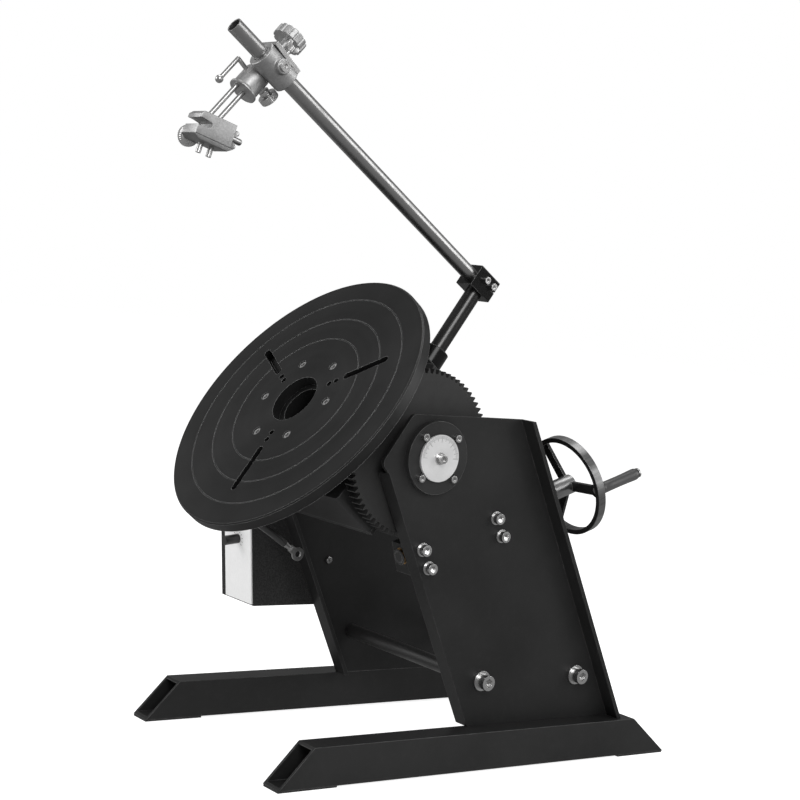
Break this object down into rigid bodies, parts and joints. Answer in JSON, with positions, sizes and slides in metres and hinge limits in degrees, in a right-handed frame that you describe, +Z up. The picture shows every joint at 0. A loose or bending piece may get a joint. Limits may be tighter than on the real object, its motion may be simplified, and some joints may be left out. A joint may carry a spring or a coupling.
{
  "type": "welding positioner",
  "caption": "Tilting turntable with through bore and slots between two bent side plates, tilted by a handwheel and worm gear, with a torch holder on an arm.",
  "frame": {"origin": "on the floor midway between the two feet, below the line 46 mm behind the tilt axis", "axes": "+X across the machine towards the plate with the angle dial, +Y to the rear where the handwheel is, +Z up; the table leans towards -Y"},
  "size_m": [0.39, 0.7008, 0.8273],
  "materials": {
    "frame_paint": "satin black powder coat with fine texture",
    "foot_paint": "satin black powder coat",
    "pad_rubber": "matt",
    "rod_steel": "blackened steel",
    "zinc_screws": "zinc plated",
    "bearing_black": "black oxide, turned",
    "bronze": "plain bronze",
    "gear_steel": "dark, hobbed",
    "bright_steel": "ground",
    "wheel_chrome": "polished rim",
    "grip_grey": "moulded",
    "housing_paint": "satin black paint on cast iron",
    "dial_white": "moulded, with engraved marks",
    "table_black": "black oxide, finely turned",
    "motor_grey": "satin",
    "post_black": "dark chrome",
    "clamp_black": "gloss black",
    "arm_chrome": "hard chrome",
    "cast_aluminium": "sand cast, lightly polished",
    "turned_aluminium": "turned",
    "brass_lug": "tinned",
    "box_paint": "wrinkle black paint",
    "panel_grey": "brushed and anodised",
    "knob_black": "moulded"
  },
  "bodies": {
    "base": {"near_foot": "foot_paint", "far_foot": "foot_paint", "foot_pads": "pad_rubber", "near_side_plate": "frame_paint", "far_side_plate": "frame_paint", "front_tie_bar": "rod_steel", "rear_tie_bar": "rod_steel", "tie_bar_bolts": "zinc_screws", "near_tilt_bearing": "bearing_black", "far_tilt_bearing": "bearing_black", "plain_bushes": "bronze", "tilt_bearing_screws": "zinc_screws", "front_worm_bracket": "housing_paint", "rear_worm_bracket": "housing_paint", "worm_bracket_bolts": "zinc_screws", "control_box": "box_paint", "control_panel": "panel_grey"},
    "worm_drive": {"worm": "gear_steel", "worm_shaft": "bright_steel", "handwheel": "wheel_chrome", "handle_pin": "bright_steel"},
    "crank": {"crank_handle": "grip_grey"},
    "head": {"tilt_housing": "housing_paint", "housing_cover": "housing_paint", "head_screws": "zinc_screws", "near_trunnion": "gear_steel", "far_trunnion": "gear_steel", "worm_wheel": "gear_steel", "dial_disc": "dial_white", "far_end_cap": "dial_white", "spindle_snout": "housing_paint", "spindle_bearings": "bright_steel", "gearmotor": "motor_grey", "post_socket": "clamp_black", "post_tube": "post_black", "earth_stub": "clamp_black", "earth_lug": "brass_lug"},
    "turntable": {"spindle": "table_black", "table_plate": "table_black", "table_screws": "zinc_screws", "spindle_gear": "gear_steel"},
    "pinion": {"drive_pinion": "gear_steel"},
    "arm": {"corner_clamp": "clamp_black", "clamp_screws": "zinc_screws", "arm_tube": "arm_chrome"},
    "holder": {"holder_clamp": "cast_aluminium", "holder_screw": "zinc_screws", "holder_rail": "turned_aluminium", "slide_barrel": "cast_aluminium"},
    "guide": {"guide_rods": "bright_steel", "torch_block": "cast_aluminium", "torch_screws": "bright_steel"},
    "adjuster": {"adjuster_knob": "cast_aluminium"},
    "lock": {"lock_knob": "turned_aluminium"},
    "lever": {"cam_lever": "bright_steel"},
    "wing": {"wing_screw": "bright_steel"},
    "side_knob": {"torch_knob": "turned_aluminium"},
    "tee": {"tee_screw": "bright_steel"},
    "speed": {"speed_knob": "knob_black"},
    "rocker": {"direction_switch": "knob_black"}
  },
  "joints": [
    {"name": "tilt", "type": "hinge", "parent": "base", "child": "head", "pos_m": [0, -0.046, 0.366], "axis": [1, 0, 0], "range_deg": [-53.2, 36.8]},
    {"name": "worm_turn", "type": "hinge", "parent": "base", "child": "worm_drive", "pos_m": [0.102, -0.00905, 0.26107], "axis": [0, 0.9432, 0.3322], "range_deg": [-2835, 4098]},
    {"name": "crank_spin", "type": "hinge", "parent": "worm_drive", "child": "crank", "pos_m": [0.15547, -0.00967, 0.26283], "axis": [0, 0.9432, 0.3322], "continuous": true},
    {"name": "table_spin", "type": "hinge", "parent": "head", "child": "turntable", "pos_m": [0, -0.15308, 0.41201], "axis": [0, -0.8007, 0.599], "continuous": true},
    {"name": "pinion_spin", "type": "hinge", "parent": "head", "child": "pinion", "pos_m": [0, -0.01443, 0.4082], "axis": [0, -0.8007, 0.599], "continuous": true},
    {"name": "arm_swivel", "type": "hinge", "parent": "head", "child": "arm", "pos_m": [0.045, 0.06567, 0.56634], "axis": [0, 0.5446, 0.8387], "range_deg": [-60, 60]},
    {"name": "holder_slide", "type": "slide", "parent": "arm", "child": "holder", "axis": [0, -0.8387, 0.5446], "range_m": [-0.15, 0.02]},
    {"name": "adjuster_turn", "type": "hinge", "parent": "holder", "child": "adjuster", "pos_m": [0.025, -0.24365, 0.79092], "axis": [0, 0.6361, 0.7716], "range_deg": [-730, 730]},
    {"name": "guide_slide", "type": "slide", "parent": "holder", "child": "guide", "axis": [0, 0.6361, 0.7716], "range_m": [-0.01, 0.01]},
    {"name": "lock_turn", "type": "hinge", "parent": "holder", "child": "lock", "pos_m": [0.025, -0.25239, 0.74887], "axis": [0, -0.7716, 0.6361], "range_deg": [-120, 120]},
    {"name": "lever_turn", "type": "hinge", "parent": "holder", "child": "lever", "pos_m": [0.025, -0.28326, 0.77432], "axis": [0, -0.7716, 0.6361], "range_deg": [-50, 50]},
    {"name": "wing_turn", "type": "hinge", "parent": "holder", "child": "wing", "pos_m": [0.047, -0.24365, 0.79092], "axis": [0, 0.6361, 0.7716], "range_deg": [-90, 90]},
    {"name": "side_knob_turn", "type": "hinge", "parent": "guide", "child": "side_knob", "pos_m": [0.007, -0.33181, 0.6907], "axis": [1, 0, 0], "range_deg": [-120, 120]},
    {"name": "tee_turn", "type": "hinge", "parent": "guide", "child": "tee", "pos_m": [0.025, -0.29374, 0.6946], "axis": [0, -0.9703, 0.2419], "range_deg": [-180, 180]},
    {"name": "speed_turn", "type": "hinge", "parent": "base", "child": "speed", "pos_m": [-0.1665, -0.10289, 0.21707], "axis": [0, 0.991, 0.134], "range_deg": [0, 270]},
    {"name": "rocker_tip", "type": "hinge", "parent": "base", "child": "rocker", "pos_m": [-0.1665, -0.10201, 0.2404], "axis": [1, 0, 0], "range_deg": [-10, 10]}
  ],
  "couplings": [
    {"joint": "worm_turn", "follows": "tilt", "ratio": -77},
    {"joint": "pinion_spin", "follows": "table_spin", "ratio": -3},
    {"joint": "adjuster_turn", "follows": "guide_slide", "rad_per_m": 1256.6}
  ]
}
